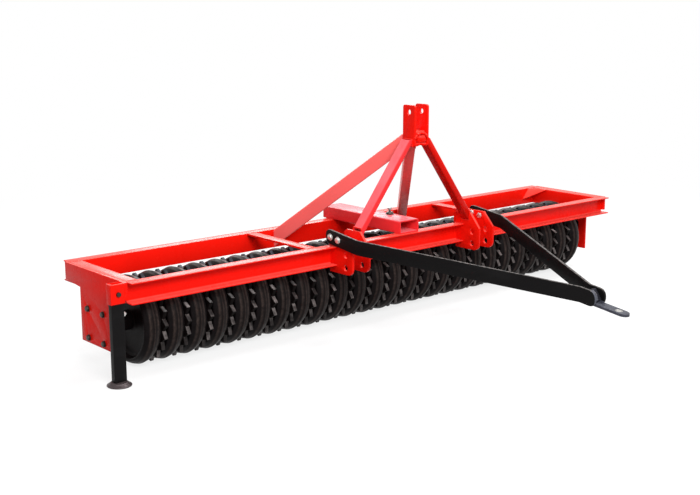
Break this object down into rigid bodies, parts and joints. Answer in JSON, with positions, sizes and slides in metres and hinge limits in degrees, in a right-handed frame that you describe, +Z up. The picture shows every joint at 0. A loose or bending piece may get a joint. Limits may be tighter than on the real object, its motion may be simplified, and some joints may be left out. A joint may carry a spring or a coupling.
{
  "type": "towed land roller",
  "caption": "Ring land roller: ridged and toothed iron rings on one axle under a channel frame with three-point headstock, drawbar and parking leg.",
  "frame": {"origin": "bottom centre of the whole outline, on the ground under the rings", "axes": "+X along the axle from the parking leg's end to the other end, +Y from the drawbar to the rear, +Z up"},
  "size_m": [3.3837, 1.9633, 1.108],
  "materials": {
    "red_paint": "gloss",
    "black_paint": "satin",
    "dark_cast_iron": "rough",
    "zinc_plate": "satin",
    "blackened_steel": "satin",
    "grey_steel": "matte"
  },
  "bodies": {
    "frame": {"front_beam": "red_paint", "rear_beam": "red_paint", "end_channel_left": "red_paint", "end_channel_right": "red_paint", "cross_member_left": "red_paint", "cross_member_right": "red_paint", "corner_gusset": "red_paint", "side_plate_left": "red_paint", "side_plate_right": "red_paint", "hitch_plate_left_outer": "red_paint", "hitch_plate_left_inner": "red_paint", "hitch_plate_right_inner": "red_paint", "hitch_plate_right_outer": "red_paint", "clevis_plate_left": "red_paint", "clevis_plate_right": "red_paint", "mast_left": "red_paint", "mast_right": "red_paint", "brace_left": "red_paint", "brace_right": "red_paint", "receiver_tube": "red_paint", "leg_socket": "red_paint", "drawbar_arm_left": "black_paint", "drawbar_arm_right": "black_paint", "drawbar_bolt_left_rear": "zinc_plate", "drawbar_bolt_left_front": "zinc_plate", "drawbar_bolt_right_rear": "zinc_plate", "drawbar_bolt_right_front": "zinc_plate", "bearing_housing_left": "blackened_steel", "bearing_housing_right": "blackened_steel", "tow_plate": "grey_steel"},
    "axle": {"axle_shaft": "grey_steel", "ring_gang": "dark_cast_iron", "star_ring_01": "dark_cast_iron", "star_ring_02": "dark_cast_iron", "star_ring_03": "dark_cast_iron", "star_ring_04": "dark_cast_iron", "star_ring_05": "dark_cast_iron", "star_ring_06": "dark_cast_iron", "star_ring_07": "dark_cast_iron", "star_ring_08": "dark_cast_iron", "star_ring_09": "dark_cast_iron", "star_ring_10": "dark_cast_iron", "star_ring_11": "dark_cast_iron", "star_ring_12": "dark_cast_iron", "star_ring_13": "dark_cast_iron", "star_ring_14": "dark_cast_iron", "star_ring_15": "dark_cast_iron", "star_ring_16": "dark_cast_iron", "star_ring_17": "dark_cast_iron", "star_ring_18": "dark_cast_iron", "star_ring_19": "dark_cast_iron", "star_ring_20": "dark_cast_iron", "star_ring_21": "dark_cast_iron", "star_ring_22": "dark_cast_iron", "star_ring_23": "dark_cast_iron", "star_ring_24": "dark_cast_iron"},
    "parking_leg": {"stand_leg": "black_paint", "stand_foot": "grey_steel"},
    "receiver_screw": {"receiver_bolt": "zinc_plate"},
    "leg_screw": {"leg_clamp_bolt": "blackened_steel"}
  },
  "joints": [
    {"name": "axle_spin", "type": "hinge", "parent": "frame", "child": "axle", "pos_m": [0.03925, 0.658, 0.206], "axis": [1, 0, 0], "continuous": true},
    {"name": "leg_slide", "type": "slide", "parent": "frame", "child": "parking_leg", "axis": [0, 0, 1], "range_m": [-0.06, 0.03]},
    {"name": "receiver_screw_turn", "type": "hinge", "parent": "frame", "child": "receiver_screw", "pos_m": [0.07225, 0.558, 0.5193], "axis": [0, 0, 1], "continuous": true},
    {"name": "leg_screw_turn", "type": "hinge", "parent": "frame", "child": "leg_screw", "pos_m": [-1.63735, 0.3917, 0.4085], "axis": [0, 1, 0], "continuous": true}
  ]
}
